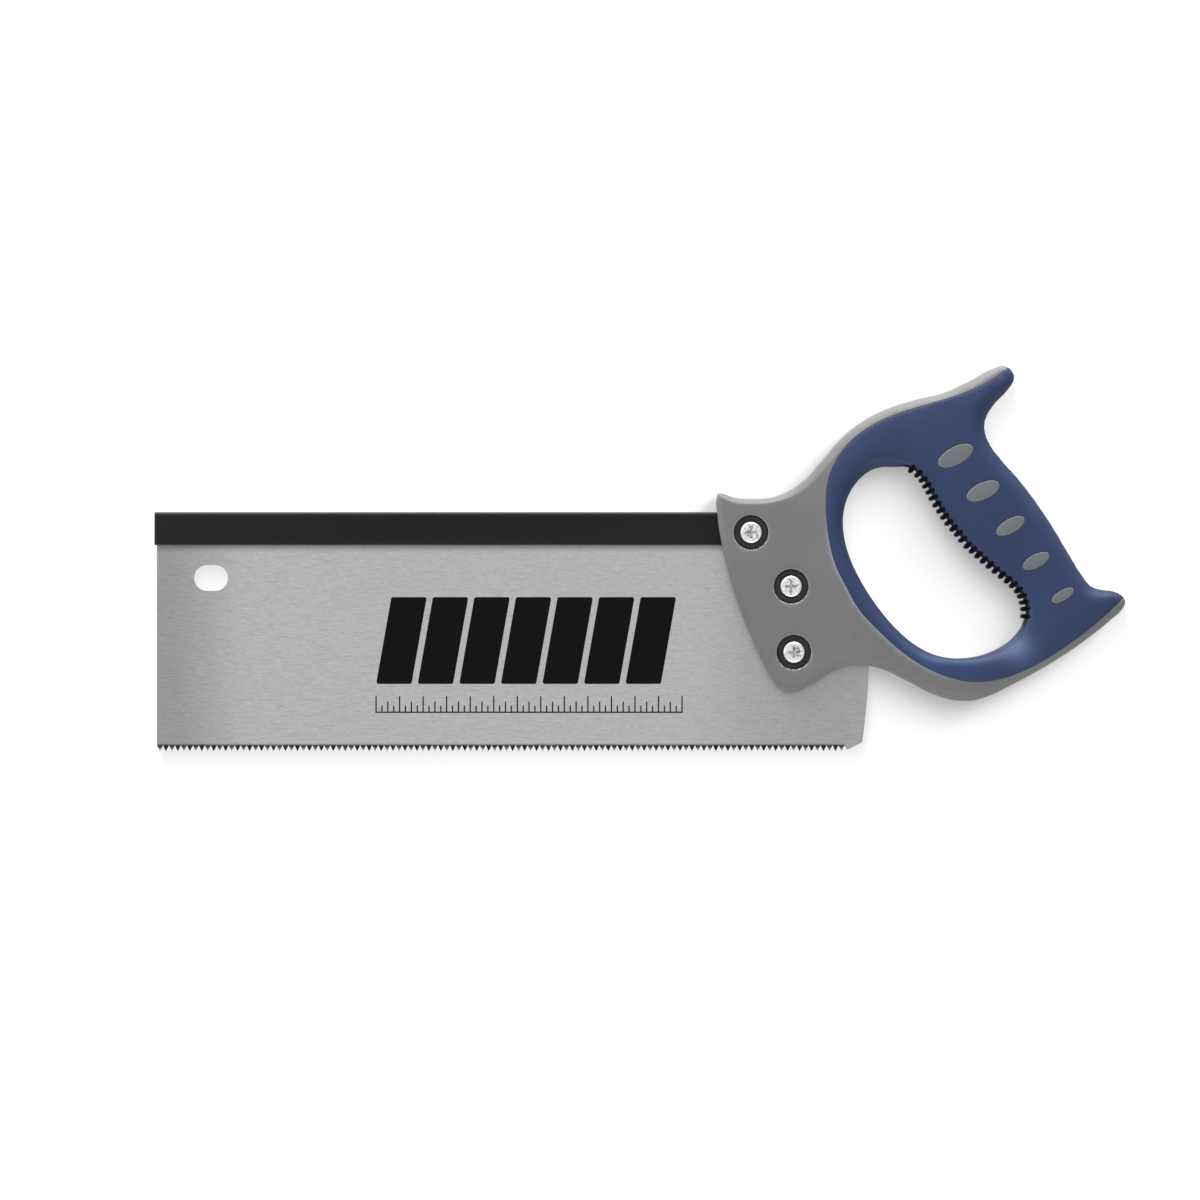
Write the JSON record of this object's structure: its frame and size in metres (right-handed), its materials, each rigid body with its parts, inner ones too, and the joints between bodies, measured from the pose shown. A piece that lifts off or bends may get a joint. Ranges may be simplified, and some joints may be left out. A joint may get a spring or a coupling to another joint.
{
  "type": "back saw",
  "caption": "Back saw with a toothed plate stiffened by a folded black steel back, and a closed grey and blue two-material handle held by screws.",
  "frame": {"origin": "on the tooth-tip line at the middle of the nominal 300 mm plate length, in the plate's mid-plane", "axes": "+X from the toe to the handle along the teeth, +Z from the teeth up to the back, +Y through the thickness"},
  "size_m": [0.412, 0.026, 0.1635],
  "materials": {
    "blade_steel": "fine lengthwise brushed steel, teeth darkened by hardening",
    "spine_black": "satin black enamel",
    "grey_plastic": "fine-textured moulded grey plastic",
    "blue_tpe": "soft-touch dark blue thermoplastic rubber",
    "screw_zinc": "bright zinc plate",
    "washer_black": "black oxide"
  },
  "bodies": {
    "root": {"blade": "blade_steel", "spine": "spine_black", "handle_core": "grey_plastic", "grip_overmould": "blue_tpe", "screw_top": "screw_zinc", "nut_top": "screw_zinc", "washer_front_top": "washer_black", "washer_back_top": "washer_black", "screw_middle": "screw_zinc", "nut_middle": "screw_zinc", "washer_front_middle": "washer_black", "washer_back_middle": "washer_black", "screw_lower": "screw_zinc", "nut_lower": "screw_zinc", "washer_front_lower": "washer_black", "washer_back_lower": "washer_black"}
  },
  "joints": []
}
